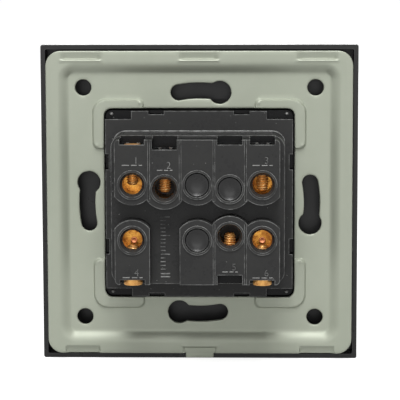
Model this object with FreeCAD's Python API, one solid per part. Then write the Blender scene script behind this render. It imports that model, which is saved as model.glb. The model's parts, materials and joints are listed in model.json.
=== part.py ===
import FreeCAD, Part
import math
import os

V = FreeCAD.Vector

# A double (two gang, two way) light switch, in mm. +Z is up, the rockers face -Y and the terminals +Y.
# The origin is the centre of the wall plane, where the steel frame's outer flange bears on the wall.

# Cover plate
cover_width = 85.6
cover_height = 85.6
cover_depth = 9.0  # front face to the rear edge of its rim
cover_rear = -2.0  # rear edge of the rim, clear of the wall
cover_skin = 2.0
rim_wall = 1.2
cover_corner = 0.6
pocket_corner = 0.5  # inside the rim
cover_chamfer = 0.4
post_depth = 1.6  # thickness of the posts that bear on the frame
snug = 0.35  # gap between the rockers and the aperture, and from the posts to the edges round them
aperture_gap = 0.2  # between the module's sides and the aperture

# Steel mounting frame
frame_gap_sides = 0.3  # between the frame and the cover's rim, left and right
frame_gap_ends = 0.4  # between the frame and the cover's rim, top and bottom
frame_corner = 4.0
sheet = 1.0
flange_width = 4.0  # outer border that bears on the wall
well_depth = 1.5
well_slope = 1.8  # width of the sloping band
well_corner = 2.6
opening_corner = 2.0
pad_width = 2.7
pad_height = 0.6
pad_arm = 13.4
pad_corner = 3.8
corner_hole_pitch = 62.6
corner_hole_radius = 2.2
keyhole_circle = 60.9  # diameter on which the fixing screws sit
keyhole_turn = 10.5  # degrees each side of the upright or level line
keyhole_slot = 4.3
keyhole_head = 6.2
emboss_depth = 0.5
emboss_reach = 2.0
emboss_length = 11.0
emboss_inset = 9.4  # from the frame's sides to the middle of the outer ones
tongue_width = 7.6
tongue_gap = 0.5  # each side of the tongue in its recess
tongue_reach = 1.3  # how far the tongue runs below the flange, over the rim
tab_width = 8.0
tab_depth = 4.6
tab_offset = 12.0
window_width = 4.4
window_height = 1.9
nose_bite = 0.7  # how far the snap noses go into their windows
nose_root = 0.2  # how far they start inside the housing's wall
nose_play_z = 0.4
nose_play_y = 0.25

# Module
module_size = 50.4
module_gap = 0.5  # between the module and the frame's opening
module_corner = 1.6
housing_wall = 1.4
base_rear = 1.5  # rear face of the square base
joint_plane = -2.0  # where the two housings meet
body_width = 45.8
body_height = 39.4
body_rear = 13.5
body_corner = 3.2
column_rear = 19.0
column_side_inset = 1.3  # from the body's sides to the outer columns
column_half = 4.6
column_inset = 0.6  # from the body's edge to the outer ends of the columns
column_corner = 1.2
round_radius = 5.8  # of a column's inner end
round_offset = 0.45  # from a wire hole's centre out to the centre of its column's round end
groove_width = 0.3  # between columns
groove_depth = 0.5
groove_offset = 4.1  # from the middle of a common terminal's column
groove_end = 3.0  # from the centre line
latch_offset = 11.5
latch_width = 4.2
latch_play = 0.2
latch_notch = 0.9
latch_end = -1.0
corner_step_width = 7.0
corner_step_height = 2.2
corner_step_depth = 2.8

# Terminals
way_height = 7.3  # wire holes of the outer columns, from the centre line
common_height = 6.2
wire_hole = 5.6  # inner end of the plastic entry
wire_mouth = 6.6  # wide end of its funnel, or of a blind one
funnel_depth = 1.1
wire_bore = 5.2  # in the brass
ring_width = 0.6
ring_height = 0.3
block_width = 6.6
block_height = 7.4
block_front = 9.8
block_rear = 17.5
bore_floor = 11.0
stop_margin = 0.9  # the wire stop behind a common block's open bore, beyond the block
screw_radius = 1.6
screw_length = 9.0
screw_cover = 0.1  # brass left between the thread and the block's rear face
screw_head_radius = 2.45
screw_head_height = 1.6
screw_slot_width = 0.7
screw_slot_depth = 0.6
screw_tip_chamfer = 0.62  # leaves the tip clear of the bore's far wall when the screw has crossed it
head_clearance = 0.2
seat_margin = 0.1  # left under the head when its screw has crossed the whole bore
notch_width = 6.5
way_notch = 1.3
common_notch = 2.6
fit = 0.15  # gap round a piece held in its pocket
running = 0.05  # radial clearance of shafts in their holes

# Rockers
pivot_behind = 4.0  # from the cover's face back to the axle
rocker_proud = 1.0  # how far a level rocker stands out of the cover
rocker_tilt = 5.0  # each way from level
rocker_gap = 0.8  # above and below the rockers in the aperture, for their swing
rocker_thick = 1.6
rocker_edge = 0.5
rocker_between = 0.3
carrier_height = 32.0
carrier_thick = 1.2
axle_radius = 1.5
axle_length = 1.1  # how far each end goes into its wall
axle_end_gap = 0.1
hub_radius = 2.4
web_thick = 2.4
side_play = 0.3
swing_gap = 0.4  # between the rockers' undersides and the walls at full tilt
post_half = 3.2
centre_wall = 2.6
tube_wall = 0.95
tube_gap = 0.3  # between the tube's end and the plane where the housings meet
bore_depth = 2.6  # how far the plunger's bore runs in front of the axle
plunger_radius = 1.67
plunger_play = 0.08
plunger_back = 1.0  # from the axle to the plunger's back
plunger_shoulder = 1.5  # from the tube's end to the step in the plunger
plunger_neck = 1.2
tip_gap = 0.25  # between the plunger and a level contact bar
spring_coil = 1.2
spring_wire = 0.15
spring_turns = 4
spring_end_gap = 0.05

# Contacts
bar_front = 1.4
bar_thick = 0.8
bar_width = 5.0
bar_length = 14.0
rocking_gap = 0.1  # between the bar and the ridge that it rocks on
ridge_radius = 0.5
ridge_height = 0.7
rivet_radius = 1.4
rivet_height = 0.6
rivet_offset = 6.0
closed_gap = 0.1  # left between two closed contacts
strip_thick = 0.8
plate_low = 3.8
plate_high = 8.0
leg_width = 5.0
foot_width = 6.0
support_gap = 0.3
support_half = 1.2

cover_half_x = cover_width / 2
cover_half_z = cover_height / 2
cover_front = cover_rear - cover_depth
aperture_half = module_size / 2 + aperture_gap
inner_half_x = cover_half_x - rim_wall
inner_half_z = cover_half_z - rim_wall
frame_half_x = inner_half_x - frame_gap_sides
frame_half_z = inner_half_z - frame_gap_ends
well_rear = -well_depth
frame_front = well_rear - sheet
opening_half = module_size / 2 + module_gap
module_half = module_size / 2
chamber_half_x = body_width / 2 - housing_wall
chamber_half_z = body_height / 2 - housing_wall
gang_centre = (centre_wall / 2 + module_half - housing_wall) / 2
column_edge = body_width / 2 - column_side_inset
column_pitch = (column_edge - column_half) / 2
column_end = body_height / 2 - column_inset
screw_depth = block_rear - screw_cover - screw_radius
notch_floor = screw_depth - screw_head_radius - head_clearance - fit
sides = {"left": -1, "right": 1}

# Depths of the rockers, worked back from the cover's face
tilt = math.radians(rocker_tilt)
rocker_pivot = cover_front + pivot_behind
rocker_face = pivot_behind + rocker_proud
rocker_back = rocker_face - rocker_thick
rocker_half = aperture_half - rocker_gap
post_front = rocker_pivot - rocker_back + 2 * swing_gap
wall_front = rocker_pivot - rocker_back * math.cos(tilt) + rocker_half * math.sin(tilt) + swing_gap
tube_end = joint_plane - tube_gap - rocker_pivot
plunger_reach = bar_front - tip_gap - rocker_pivot
plunger_bore = plunger_radius + plunger_play
tube_radius = plunger_bore + tube_wall

# Depths of the contacts, worked back from the bar
contact_pivot = bar_front + bar_thick + rocking_gap
common_plate_front = contact_pivot + ridge_height
rivet_edge = rivet_offset + rivet_radius
rivet_rear = rivet_height - rocking_gap
fixed_face = contact_pivot + rivet_rear * math.cos(tilt) + rivet_edge * math.sin(tilt) + closed_gap

# Column, side of the centre line and height of each wire hole
terminals = {
    "right_way_1": (2, 1, way_height),
    "right_common": (1, 1, common_height),
    "right_way_2": (2, -1, way_height),
    "left_way_1": (-2, 1, way_height),
    "left_common": (-1, -1, common_height),
    "left_way_2": (-2, -1, way_height),
}
blind_columns = [(0, 1, way_height), (-1, 1, common_height), (0, -1, way_height)]
all_columns = list(terminals.values()) + blind_columns

# Share of the wire bore that each screw crosses
screw_reach = {
    "right_way_1": 0.55,
    "right_common": 0.7,
    "right_way_2": 0.2,
    "left_way_1": 0.85,
    "left_common": 0.6,
    "left_way_2": 0.2,
}


def box(x0, x1, y0, y1, z0, z1):
    low = V(min(x0, x1), min(y0, y1), min(z0, z1))
    return Part.makeBox(abs(x1 - x0), abs(y1 - y0), abs(z1 - z0), low)


def rod(radius, y0, y1, x=0.0, z=0.0):
    return Part.makeCylinder(radius, y1 - y0, V(x, y0, z), V(0, 1, 0))


def join(shapes):
    return shapes[0].multiFuse(shapes[1:]).removeSplitter()


def rounded_wire(half_x, half_z, radius, y):
    near = radius * math.sqrt(0.5)
    edges = []
    first = last = None
    for turn, (sx, sz) in enumerate([(1, 1), (-1, 1), (-1, -1), (1, -1)]):
        cx = sx * (half_x - radius)
        cz = sz * (half_z - radius)
        on_side = V(cx + sx * radius, y, cz)
        on_end = V(cx, y, cz + sz * radius)
        start, end = (on_side, on_end) if turn % 2 == 0 else (on_end, on_side)
        if last is None:
            first = start
        else:
            edges.append(Part.LineSegment(last, start).toShape())
        edges.append(Part.Arc(start, V(cx + sx * near, y, cz + sz * near), end).toShape())
        last = end
    edges.append(Part.LineSegment(last, first).toShape())
    return Part.Wire(edges)


def rounded_plate(half_x, half_z, radius, y0, y1):
    return Part.Face(rounded_wire(half_x, half_z, radius, y0)).extrude(V(0, y1 - y0, 0))


def taper(front, rear):
    """A solid between two rounded outlines, each (half_x, half_z, radius, y)."""
    return Part.makeLoft([rounded_wire(*front), rounded_wire(*rear)], True, True)


def ring_point(angle, radius, y):
    """A point on a circle round the Y axis, with the angle from +Z towards -X in degrees."""
    turn = math.radians(angle)
    return V(-radius * math.sin(turn), y, radius * math.cos(turn))


def keyhole(middle, y0, y1):
    """A slot that curves about the centre, with a wide head for the screw at one end."""
    circle = keyhole_circle / 2
    half = keyhole_slot / 2
    low = middle - keyhole_turn
    high = middle + keyhole_turn
    tip = math.degrees(half / circle)
    corners = [
        (low, circle + half), (middle, circle + half), (high, circle + half),
        (high + tip, circle), (high, circle - half), (middle, circle - half),
        (low, circle - half), (low - tip, circle),
    ]
    points = [ring_point(angle, radius, y0) for angle, radius in corners]
    points.append(points[0])
    edges = [Part.Arc(*points[i:i + 3]).toShape() for i in (0, 2, 4, 6)]
    slot = Part.Face(Part.Wire(edges)).extrude(V(0, y1 - y0, 0))
    head_at = ring_point(high, circle, y0)
    head = rod(keyhole_head / 2, y0, y1, head_at.x, head_at.z)
    return slot.fuse(head)


def embosses():
    """Where the flange's edge is pressed forward: x range and which edge, +1 the top and -1 the bottom."""
    reach = emboss_length / 2
    centre = frame_half_x - emboss_inset
    ranges = []
    for side in (-1, 1):
        for edge in (-1, 1):
            ranges.append((side * centre - reach, side * centre + reach, edge))
    ranges.append((-reach, reach, 1))
    tongue_recess = tongue_width / 2 + tongue_gap
    ranges.append((-tongue_recess, tongue_recess, -1))
    return ranges


def mounting_frame():
    inset_x = frame_half_x - flange_width
    inset_z = frame_half_z - flange_width
    floor_x = inset_x - well_slope
    floor_z = inset_z - well_slope
    spread = sheet * (math.hypot(well_slope, well_depth) - well_slope) / well_depth
    body = rounded_plate(frame_half_x, frame_half_z, frame_corner, -sheet, 0)
    bulge = taper(
        (floor_x + spread, floor_z + spread, well_corner + spread, frame_front),
        (inset_x + spread, inset_z + spread, well_corner + well_slope + spread, -sheet),
    )
    well = taper(
        (floor_x, floor_z, well_corner, well_rear),
        (inset_x, inset_z, well_corner + well_slope, 0),
    )
    body = body.fuse(bulge).cut(well)

    pad_half = opening_half + pad_width
    pads = rounded_plate(pad_half, pad_half, pad_corner, well_rear, well_rear + pad_height)
    hollow = rounded_plate(pad_half, pad_half, pad_corner, frame_front, frame_front + pad_height)
    arm = pad_half - pad_arm
    bar_x = box(-arm, arm, frame_front, 0, -pad_half, pad_half)
    bar_z = box(-pad_half, pad_half, frame_front, 0, -arm, arm)
    pads = pads.cut(bar_x).cut(bar_z)
    hollow = hollow.cut(bar_x).cut(bar_z)
    body = body.fuse(pads).cut(hollow)

    added = []
    removed = []
    for x0, x1, edge in embosses():
        inner = edge * (frame_half_z - emboss_reach)
        added.append(box(x0, x1, -sheet - emboss_depth, -sheet, inner, edge * frame_half_z))
        removed.append(box(x0, x1, -emboss_depth, 0, inner, edge * frame_half_z))
    low = -frame_half_z - tongue_reach
    high = -frame_half_z + emboss_reach
    half = tongue_width / 2
    added.append(box(-half, half, -sheet - emboss_depth, -emboss_depth, low, high))
    corner_cut = rounded_plate(frame_half_x, frame_half_z + tongue_reach, frame_corner, frame_front, 0)
    body = body.multiFuse(added).cut(Part.Compound(removed)).common(corner_cut)

    removed = [rounded_plate(opening_half, opening_half, opening_corner, frame_front, 0)]
    for middle in (0, 90, 180, 270):
        removed.append(keyhole(middle, frame_front, 0))
    reach = corner_hole_pitch / 2
    for sx in (-1, 1):
        for sz in (-1, 1):
            removed.append(rod(corner_hole_radius, frame_front, 0, sx * reach, sz * reach))
    for cutter in removed:
        body = body.cut(cutter)

    tabs = []
    for sx in (-1, 1):
        for sz in (-1, 1):
            z = sz * tab_offset
            inner = sx * opening_half
            outer = sx * (opening_half + sheet)
            front = well_rear - sheet - tab_depth
            tab = box(inner, outer, front, well_rear, z - tab_width / 2, z + tab_width / 2)
            middle = nose_depth()
            hole = box(
                inner, outer, middle - window_height / 2, middle + window_height / 2,
                z - window_width / 2, z + window_width / 2,
            )
            tabs.append(tab.cut(hole))
    return join([body] + tabs)


def nose_depth():
    """Depth of the snap noses and of the windows they sit in."""
    return frame_front - tab_depth / 2


def cover_plate():
    outer = rounded_plate(cover_half_x, cover_half_z, cover_corner, cover_front, cover_rear)
    front_edges = [
        e for e in outer.Edges
        if max(v.Y for v in e.Vertexes) < cover_front + 1e-6
    ]
    outer = outer.makeChamfer(cover_chamfer, front_edges)
    pocket_front = cover_front + cover_skin
    pocket = rounded_plate(inner_half_x, inner_half_z, pocket_corner, pocket_front, cover_rear)
    aperture = rounded_plate(aperture_half, aperture_half, rocker_edge, cover_front, cover_rear)
    cover = outer.cut(pocket).cut(aperture)

    posts = []
    for x0, x1, edge in embosses():
        top = edge * (frame_half_z - snug)
        posts.append(
            box(
                x0 + snug, x1 - snug, cover_front + cover_skin, -sheet - emboss_depth,
                top - edge * post_depth, top,
            )
        )
    return join([cover] + posts)


def housing_noses():
    noses = []
    for sx in (-1, 1):
        for sz in (-1, 1):
            z = sz * tab_offset
            half = window_width / 2 - nose_play_z
            depth = window_height / 2 - nose_play_y
            middle = nose_depth()
            noses.append(
                box(
                    sx * (module_half - nose_root), sx * (opening_half + nose_bite),
                    middle - depth, middle + depth, z - half, z + half,
                )
            )
    return noses


def latch_places(inner, outer, half):
    """Boxes at the eight latches on the four edges, as (x0, x1, z0, z1)."""
    places = []
    for along in (-latch_offset, latch_offset):
        for side in (-1, 1):
            places.append((along - half, along + half, side * inner, side * outer))
            places.append((side * inner, side * outer, along - half, along + half))
    return places


def front_housing():
    outer = rounded_plate(module_half, module_half, module_corner, wall_front, joint_plane)
    inner = module_half - housing_wall
    floor_front = joint_plane - housing_wall
    cavity = box(-inner, inner, wall_front, floor_front, -inner, inner)
    body = outer.cut(cavity)
    half_centre = centre_wall / 2
    added = [
        box(-half_centre, half_centre, wall_front, floor_front, -inner, inner),
        box(-half_centre, half_centre, post_front, wall_front, -post_half, post_half),
    ]
    for s in (-1, 1):
        added.append(box(s * inner, s * module_half, post_front, wall_front, -post_half, post_half))
    added += housing_noses()
    reach = module_half - latch_notch + fit
    for x0, x1, z0, z1 in latch_places(reach, module_half, latch_width / 2 - latch_play):
        added.append(box(x0, x1, joint_plane, latch_end, z0, z1))
    body = join([body] + added)
    hole_radius = axle_radius + running
    tube_slot = tube_radius + side_play + (tube_end + tube_radius) * math.sin(tilt)
    depth = axle_length + axle_end_gap
    for s in (-1, 1):
        outer_hole = Part.makeCylinder(hole_radius, depth, V(s * inner, rocker_pivot, 0), V(s, 0, 0))
        centre_start = V(s * half_centre, rocker_pivot, 0)
        centre_hole = Part.makeCylinder(hole_radius, depth, centre_start, V(-s, 0, 0))
        slot = box(
            s * gang_centre - tube_radius - side_play, s * gang_centre + tube_radius + side_play,
            floor_front, joint_plane, -tube_slot, tube_slot,
        )
        body = body.cut(outer_hole).cut(centre_hole).cut(slot)
    return body


def is_common(place):
    return place % 2 == 1


def column(place, side, height):
    """One terminal column: flat outer end, round inner end beside its wire hole."""
    x0 = place * column_pitch - column_half
    x1 = place * column_pitch + column_half
    middle = height + round_offset
    straight = box(x0, x1, body_rear, column_rear, side * middle, side * column_end)
    end = box(x0, x1, body_rear, column_rear, side * (middle - round_radius), side * middle)
    disc = rod(round_radius, body_rear, column_rear, place * column_pitch, side * middle)
    return straight.fuse(end.common(disc))


def column_grooves(place, side):
    """The two grooves between a common terminal's column and its neighbours."""
    grooves = []
    for s in (-1, 1):
        x = place * column_pitch + s * groove_offset
        grooves.append(
            box(
                x - groove_width / 2, x + groove_width / 2, column_rear - groove_depth, column_rear,
                side * groove_end, side * column_end,
            )
        )
    return grooves


def wire_ring(place, side, height):
    x = place * column_pitch
    return rod(wire_mouth / 2 + ring_width, column_rear, column_rear + ring_height, x, side * height)


def funnel(place, side, height):
    """The widening mouth of a wire entry, and the whole of a blind one."""
    start = V(place * column_pitch, column_rear + ring_height - funnel_depth, side * height)
    return Part.makeCone(wire_hole / 2, wire_mouth / 2, funnel_depth, start, V(0, 1, 0))


def round_ended(x, z, side, half_x, half_z, y0, y1):
    """A block with a flat outer end and a half-round inner one."""
    straight = box(x - half_x, x + half_x, y0, y1, z, z + side * half_z)
    return straight.fuse(rod(half_x, y0, y1, x, z)).removeSplitter()


def wire_stop(place, side, height):
    """The floor of the chamber behind a common block's open bore."""
    x = place * column_pitch
    half = block_width / 2 + stop_margin
    return box(
        x - half, x + half, block_front - strip_thick, block_front,
        side * (height - wire_bore / 2 + fit), side * (height + block_height / 2 + stop_margin),
    )


def notch(place, side, depth):
    x = place * column_pitch
    half = notch_width / 2
    low = column_end - depth
    return box(x - half, x + half, notch_floor, column_rear, side * low, side * (column_end + column_inset))


def terminal_housing():
    base = rounded_plate(module_half, module_half, module_corner, joint_plane, base_rear)
    body = rounded_plate(body_width / 2, body_height / 2, body_corner, joint_plane, body_rear)
    columns = join([column(*place) for place in all_columns])
    columns = columns.common(
        rounded_plate(column_edge, column_end, column_corner, body_rear, column_rear)
    )
    housing = join([base, body, columns] + [wire_ring(*place) for place in all_columns])

    half_rib = centre_wall / 2
    removed = []
    for s in (-1, 1):
        chamber = box(
            s * half_rib, s * chamber_half_x, joint_plane, block_front, -chamber_half_z, chamber_half_z,
        )
        for z in (-1, 1):
            support = box(
                s * (column_pitch + foot_width / 2 + support_gap),
                s * (2 * column_pitch - foot_width / 2 - support_gap),
                fixed_face + rivet_height + strip_thick, block_front,
                z * (rivet_offset - support_half), z * (rivet_offset + support_half),
            )
            chamber = chamber.cut(support)
        for place, side, height in terminals.values():
            if is_common(place):
                chamber = chamber.cut(wire_stop(place, side, height))
        removed.append(chamber)
    for place, side, height in terminals.values():
        x = place * column_pitch
        z = side * height
        half_x = block_width / 2 + fit
        half_z = block_height / 2 + fit
        removed.append(round_ended(x, z, side, half_x, half_z, block_front, block_rear))
        removed.append(rod(wire_hole / 2, block_rear, column_rear, x, z))
        removed.append(funnel(place, side, height))
        start = V(x, screw_depth, z + side * block_height / 2)
        away = V(0, 0, side)
        removed.append(Part.makeCylinder(screw_radius + head_clearance, column_end - height, start, away))
        seat = V(x, screw_depth, side * (height + screw_seat()))
        removed.append(
            Part.makeCylinder(screw_head_radius + head_clearance, column_end - height, seat, away)
        )
        deep = common_notch if is_common(place) else way_notch
        removed.append(notch(place, side, deep))
    for place, side, height in blind_columns:
        removed.append(funnel(place, side, height))
        if place:
            removed.append(notch(place, side, way_notch))
    for place, side, height in all_columns:
        if is_common(place):
            removed += column_grooves(place, side)
    for x0, x1, z0, z1 in latch_places(module_half - latch_notch, module_half, latch_width / 2):
        removed.append(box(x0, x1, joint_plane, base_rear, z0, z1))
    for sx in (-1, 1):
        for sz in (-1, 1):
            removed.append(
                box(
                    sx * (module_half - corner_step_width), sx * module_half,
                    base_rear - corner_step_depth, base_rear,
                    sz * (module_half - corner_step_height), sz * module_half,
                )
            )
    for cutter in removed:
        housing = housing.cut(cutter)
    return housing


def screw_seat():
    """Where the head's channel starts beyond the wire hole, so that the screw can go right across it."""
    return screw_length - wire_bore / 2 - seat_margin


def terminal_block(place, side, height):
    x = place * column_pitch
    z = side * height
    half_z = block_height / 2
    block = round_ended(x, z, side, block_width / 2, half_z, block_front, block_rear)
    floor = block_front if is_common(place) else bore_floor
    block = block.cut(rod(wire_bore / 2, floor, block_rear, x, z))
    thread = Part.makeCylinder(screw_radius + running, half_z, V(x, screw_depth, z), V(0, 0, side))
    return block.cut(thread)


def terminal_screw(place, side, height, reach):
    """A slotted clamping screw that points at the centre line, its tip part of the way across the bore."""
    tip = height + wire_bore / 2 - reach * wire_bore
    x = place * column_pitch
    away = V(0, 0, side)
    shank_start = V(x, screw_depth, side * (tip + screw_tip_chamfer))
    shank = Part.makeCylinder(screw_radius, screw_length - screw_tip_chamfer, shank_start, away)
    point = Part.makeCone(
        screw_radius - screw_tip_chamfer, screw_radius, screw_tip_chamfer,
        V(x, screw_depth, side * tip), away,
    )
    head_start = tip + screw_length
    head_base = V(x, screw_depth, side * head_start)
    head = Part.makeCylinder(screw_head_radius, screw_head_height, head_base, away)
    top = side * (head_start + screw_head_height)
    slot = box(
        x - screw_head_radius, x + screw_head_radius,
        screw_depth - screw_slot_width / 2, screw_depth + screw_slot_width / 2,
        top - side * screw_slot_depth, top,
    )
    return join([point, shank, head]).cut(slot)


def strip_foot(place, side, inner, outer):
    """The flat end of a strip, under its terminal block."""
    x = place * column_pitch
    half = foot_width / 2
    return box(x - half, x + half, block_front - strip_thick, block_front, side * inner, side * outer)


def way_strip(place, side, height):
    """From the fixed contact back to the terminal block of one way."""
    s = 1 if place > 0 else -1
    x_terminal = place * column_pitch
    front = fixed_face + rivet_height
    half = leg_width / 2
    plate = box(
        s * gang_centre - s * half, x_terminal + s * half,
        front, front + strip_thick, side * plate_low, side * plate_high,
    )
    leg = box(
        x_terminal - half, x_terminal + half,
        front, block_front, side * plate_low, side * (plate_low + strip_thick),
    )
    foot_end = height + block_height / 2 - strip_thick
    return join([plate, leg, strip_foot(place, side, plate_low, foot_end)])


def common_strip(place, side, height):
    """From the ridge that the contact bar rocks on back to the common terminal block."""
    s = 1 if place > 0 else -1
    x_terminal = place * column_pitch
    half = leg_width / 2
    reach_x = s * gang_centre + s * bar_width / 2
    start_x = s * gang_centre - s * bar_width / 2
    ridge = Part.makeCylinder(
        ridge_radius, bar_width, V(min(start_x, reach_x), contact_pivot + ridge_radius, 0), V(1, 0, 0),
    )
    plate = box(
        x_terminal - s * half, reach_x,
        common_plate_front, common_plate_front + strip_thick, -2 * strip_thick, 2 * strip_thick,
    )
    leg = box(
        x_terminal - half, x_terminal + half,
        common_plate_front, block_front, -strip_thick / 2, strip_thick / 2,
    )
    foot = strip_foot(place, side, -strip_thick / 2, height - wire_bore / 2)
    return join([ridge, plate, leg, foot])


def fixed_rivets(s):
    """The two silver faces that the contact bar meets, one on each way strip of a gang."""
    x = s * gang_centre
    rear = fixed_face + rivet_height
    return [rod(rivet_radius, fixed_face, rear, x, z * rivet_offset) for z in (-1, 1)]


def tilted(shapes, sign, depth):
    """Shapes turned about the X axis at a depth, by the rockers' tilt at rest."""
    turned = []
    for shape in shapes:
        shape = shape.copy()
        shape.rotate(V(0, depth, 0), V(1, 0, 0), sign * rocker_tilt)
        turned.append(shape)
    return turned


def contact_bar(s):
    half = bar_width / 2
    reach = bar_length / 2
    x = s * gang_centre
    return box(x - half, x + half, bar_front, bar_front + bar_thick, -reach, reach)


def bar_rivets(s):
    x = s * gang_centre
    rear = bar_front + bar_thick
    return [rod(rivet_radius, rear, rear + rivet_height, x, z * rivet_offset) for z in (-1, 1)]


def rocker_cap(s):
    """The visible cap: a slightly hollowed plate with rounded edges and locating ribs behind."""
    inner = rocker_between / 2
    outer = aperture_half - snug
    face = rocker_pivot - rocker_face
    half = rocker_half
    cap = box(s * inner, s * outer, face, face + rocker_thick, -half, half)
    face_edges = [e for e in cap.Edges if max(v.Y for v in e.Vertexes) < face + 1e-6]
    cap = cap.makeFillet(rocker_edge, face_edges)
    ribs = []
    for z in (-1, 1):
        near = z * (carrier_height / 2 + fit)
        ribs.append(
            box(
                s * (centre_wall / 2 + side_play), s * (module_half - housing_wall - side_play),
                face + rocker_thick, face + rocker_thick + carrier_thick, near, near + z * carrier_thick,
            )
        )
    return join([cap] + ribs)


def rocker_carrier(s):
    """The seesaw inside a rocker: a plate, an axle and the tube that guides the plunger."""
    x0 = s * (centre_wall / 2 + side_play)
    x1 = s * (module_half - housing_wall - side_play)
    back = rocker_pivot - rocker_face + rocker_thick
    half = carrier_height / 2
    width = abs(x1 - x0)
    left = min(x0, x1)
    plate = box(x0, x1, back, back + carrier_thick, -half, half)
    hub = Part.makeCylinder(hub_radius, width, V(left, rocker_pivot, 0), V(1, 0, 0))
    web = box(x0, x1, back, rocker_pivot, -web_thick / 2, web_thick / 2)
    stub = axle_length + side_play - running
    axle = Part.makeCylinder(axle_radius, width + 2 * stub, V(left - stub, rocker_pivot, 0), V(1, 0, 0))
    x = s * gang_centre
    tube = rod(tube_radius, back, rocker_pivot + tube_end, x)
    bore = rod(plunger_bore, rocker_pivot - bore_depth, rocker_pivot + tube_end, x)
    return join([plate, hub, web, axle, tube]).cut(bore)


def plunger(s):
    x = s * gang_centre
    shoulder = rocker_pivot + tube_end + plunger_shoulder
    tip_centre = rocker_pivot + plunger_reach - plunger_neck
    body = rod(plunger_radius, rocker_pivot + plunger_back, shoulder, x)
    neck = rod(plunger_neck, shoulder, tip_centre, x)
    tip = Part.makeSphere(plunger_neck, V(x, tip_centre, 0))
    return join([body, neck, tip])


def plunger_spring(s):
    """A helix of round wire between the bore's end and the plunger's back."""
    start = rocker_pivot - bore_depth + spring_wire + spring_end_gap
    end = rocker_pivot + plunger_back - spring_wire - spring_end_gap
    pitch = (end - start) / spring_turns
    helix = Part.makeLongHelix(pitch, end - start, spring_coil)
    section = Part.Wire(Part.makeCircle(spring_wire, V(spring_coil, 0, 0), V(0, 1, 0)))
    coil = Part.Wire(helix.Edges).makePipeShell([section], True, False)
    coil.rotate(V(0, 0, 0), V(1, 0, 0), -90)
    coil.translate(V(s * gang_centre, start, 0))
    return coil


def save(name, shapes):
    shape = shapes[0] if len(shapes) == 1 else Part.Compound(shapes)
    shape.exportStep("parts/" + name + ".step")
    print(name, len(shape.Solids), round(shape.Volume, 2), shape.isValid())


def main():
    os.makedirs("parts", exist_ok=True)
    save("cover_plate", [cover_plate()])
    save("mounting_frame", [mounting_frame()])
    save("front_housing", [front_housing()])
    save("terminal_housing", [terminal_housing()])
    for name, place in terminals.items():
        save("terminal_block_" + name, [terminal_block(*place)])
        save("terminal_screw_" + name, [terminal_screw(*place, screw_reach[name])])
        if "common" in name:
            save("common_strip_" + name.split("_")[0], [common_strip(*place)])
        else:
            save("way_strip_" + name.replace("way_", ""), [way_strip(*place)])
    for name, s in sides.items():
        save("fixed_contacts_" + name, fixed_rivets(s))
        save("contact_bar_" + name, tilted([contact_bar(s)], 1, contact_pivot))
        save("bar_contacts_" + name, tilted(bar_rivets(s), 1, contact_pivot))
        save("rocker_" + name, tilted([rocker_cap(s)], -1, rocker_pivot))
        save("rocker_carrier_" + name, tilted([rocker_carrier(s)], -1, rocker_pivot))
        save("plunger_" + name, tilted([plunger(s)], -1, rocker_pivot))
        save("plunger_spring_" + name, tilted([plunger_spring(s)], -1, rocker_pivot))


main()
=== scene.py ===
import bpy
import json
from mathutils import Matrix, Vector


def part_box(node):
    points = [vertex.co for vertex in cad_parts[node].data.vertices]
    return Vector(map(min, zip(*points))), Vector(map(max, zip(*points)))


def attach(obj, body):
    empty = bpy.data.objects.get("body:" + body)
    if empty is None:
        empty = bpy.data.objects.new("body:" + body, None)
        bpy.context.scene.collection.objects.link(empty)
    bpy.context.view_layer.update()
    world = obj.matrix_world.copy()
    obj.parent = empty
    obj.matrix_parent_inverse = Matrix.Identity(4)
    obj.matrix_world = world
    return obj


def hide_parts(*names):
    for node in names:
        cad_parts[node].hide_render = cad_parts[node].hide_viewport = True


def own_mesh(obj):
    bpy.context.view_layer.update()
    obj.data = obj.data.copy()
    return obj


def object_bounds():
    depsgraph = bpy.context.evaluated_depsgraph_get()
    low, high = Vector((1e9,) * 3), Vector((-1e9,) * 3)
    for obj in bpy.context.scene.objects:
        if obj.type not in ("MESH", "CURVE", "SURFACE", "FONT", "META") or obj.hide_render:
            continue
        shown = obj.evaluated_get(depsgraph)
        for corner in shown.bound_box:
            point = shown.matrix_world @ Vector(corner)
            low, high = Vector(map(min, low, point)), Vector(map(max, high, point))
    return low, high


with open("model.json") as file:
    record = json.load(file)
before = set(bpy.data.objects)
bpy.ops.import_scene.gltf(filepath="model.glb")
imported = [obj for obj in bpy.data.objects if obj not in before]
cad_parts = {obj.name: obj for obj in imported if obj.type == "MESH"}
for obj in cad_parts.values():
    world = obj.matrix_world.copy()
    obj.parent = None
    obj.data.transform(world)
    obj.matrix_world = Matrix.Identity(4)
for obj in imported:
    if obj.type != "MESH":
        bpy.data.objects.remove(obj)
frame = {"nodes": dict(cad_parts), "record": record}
cadBox = [list(corner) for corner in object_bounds()]

import json
import math

import bmesh
import bpy
from mathutils import Quaternion, Vector
from mathutils.geometry import delaunay_2d_cdt

mm = 0.001
gangs = ((1, "right"), (-1, "left"))   # sides along X, named as seen from the rockers
scene = bpy.context.scene
nodes = frame["nodes"]
print("frame loaded:", len(nodes), "nodes")

# x and z of each wire hole in mm, by terminal, from the frame's mounts
wireHoles = {}
for mount in frame["record"]["mounts"]:
    if mount["name"].startswith("wire_entry_"):
        x, _, z = mount["pos_m"]
        wireHoles[mount["name"].removeprefix("wire_entry_")] = (round(x / mm, 3), round(z / mm, 3))


def smooth(t):
    t = min(max(t, 0.0), 1.0)
    return t * t * (3 - 2 * t)


def mix(a, b, t):
    return a + (b - a) * t


def fromSrgb(red, green, blue):
    parts = []
    for value in (red, green, blue):
        share = value / 255
        parts.append(share / 12.92 if share <= 0.04045 else ((share + 0.055) / 1.055) ** 2.4)
    return (*parts, 1.0)


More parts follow.
